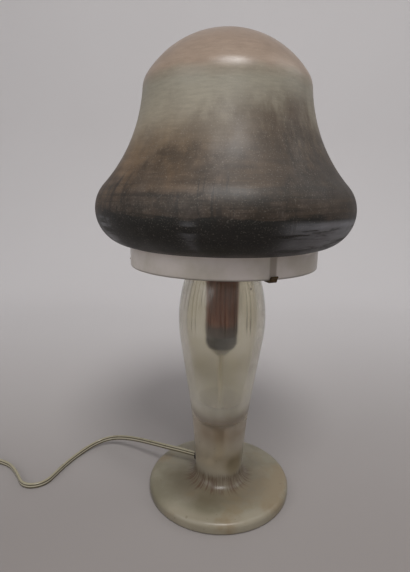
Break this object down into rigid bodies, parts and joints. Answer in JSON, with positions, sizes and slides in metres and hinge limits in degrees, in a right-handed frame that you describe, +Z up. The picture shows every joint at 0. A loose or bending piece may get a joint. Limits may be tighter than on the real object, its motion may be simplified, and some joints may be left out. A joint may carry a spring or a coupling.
{
  "type": "mushroom table lamp",
  "caption": "Blown-glass table lamp: a painted bell shade lifts off hooked brass arms on a frosted glass column with a round foot, with an in-line rocker switch and a corded plug.",
  "frame": {"origin": "centre of the round foot's underside, on the surface that the lamp stands on", "axes": "+Z up along the column; -Y towards the viewer of the picture; the cord leaves the stem towards -X"},
  "size_m": [0.4189, 0.2075, 0.3686],
  "materials": {
    "base_glass": "frosted satin, faint green",
    "painted_glass": "satin paint in misty bands on frosted glass",
    "bulb_glass": "frosted",
    "clear_glass": "clear",
    "porcelain": "glazed porcelain",
    "black_rubber": "matte",
    "turned_wood": "turned and stained reddish brown",
    "aged_brass": "darkened satin",
    "contact_brass": "bright",
    "plated_steel": "bright plated",
    "holder_plastic": "moulded",
    "bulb_aluminium": "bright",
    "filament_wire": "drawn wire",
    "clear_flex": "translucent olive sheath over two dark conductors",
    "pale_plastic": "moulded",
    "rocker_plastic": "moulded",
    "black_tie": "soft",
    "black_sleeve": "moulded"
  },
  "bodies": {
    "lamp": {"glass_base": "base_glass", "cord_bush": "black_rubber", "neck_stopper": "turned_wood", "clamp_rubber": "black_rubber", "clamp_washer": "plated_steel", "clamp_nut": "plated_steel", "neck_cap": "aged_brass", "spider_hub": "aged_brass", "hub_nut": "aged_brass", "claw_arm_1": "aged_brass", "claw_arm_2": "aged_brass", "claw_arm_3": "aged_brass", "arm_rivets": "aged_brass", "threaded_tube": "plated_steel", "holder_cap": "holder_plastic", "holder_body": "holder_plastic", "holder_insert": "porcelain", "holder_liner": "plated_steel", "centre_contact": "contact_brass", "terminal_screws": "contact_brass", "bulb_glass": "bulb_glass", "bulb_cap": "bulb_aluminium", "bulb_tip": "contact_brass", "bulb_mount": "clear_glass", "bulb_filament": "filament_wire", "inner_flex": "clear_flex", "cord_run": "clear_flex", "switch_base": "pale_plastic", "switch_cover": "pale_plastic", "switch_screws": "plated_steel", "cord_link": "clear_flex", "cord_coil": "clear_flex", "coil_tie": "black_tie", "cord_tail": "clear_flex", "plug_relief": "pale_plastic", "plug_body": "pale_plastic", "pin_sleeves": "black_sleeve", "plug_pins": "plated_steel"},
    "shade": {"glass_shade": "painted_glass"},
    "rocker": {"switch_rocker": "rocker_plastic"}
  },
  "joints": [
    {"name": "shade_lift", "type": "slide", "parent": "lamp", "child": "shade", "axis": [0, 0, 1], "range_m": [0, 0.15]},
    {"name": "switch_rock", "type": "hinge", "parent": "lamp", "child": "rocker", "pos_m": [-0.266, 0.026, 0.013], "axis": [0, 1, 0], "range_deg": [0, 16]}
  ]
}
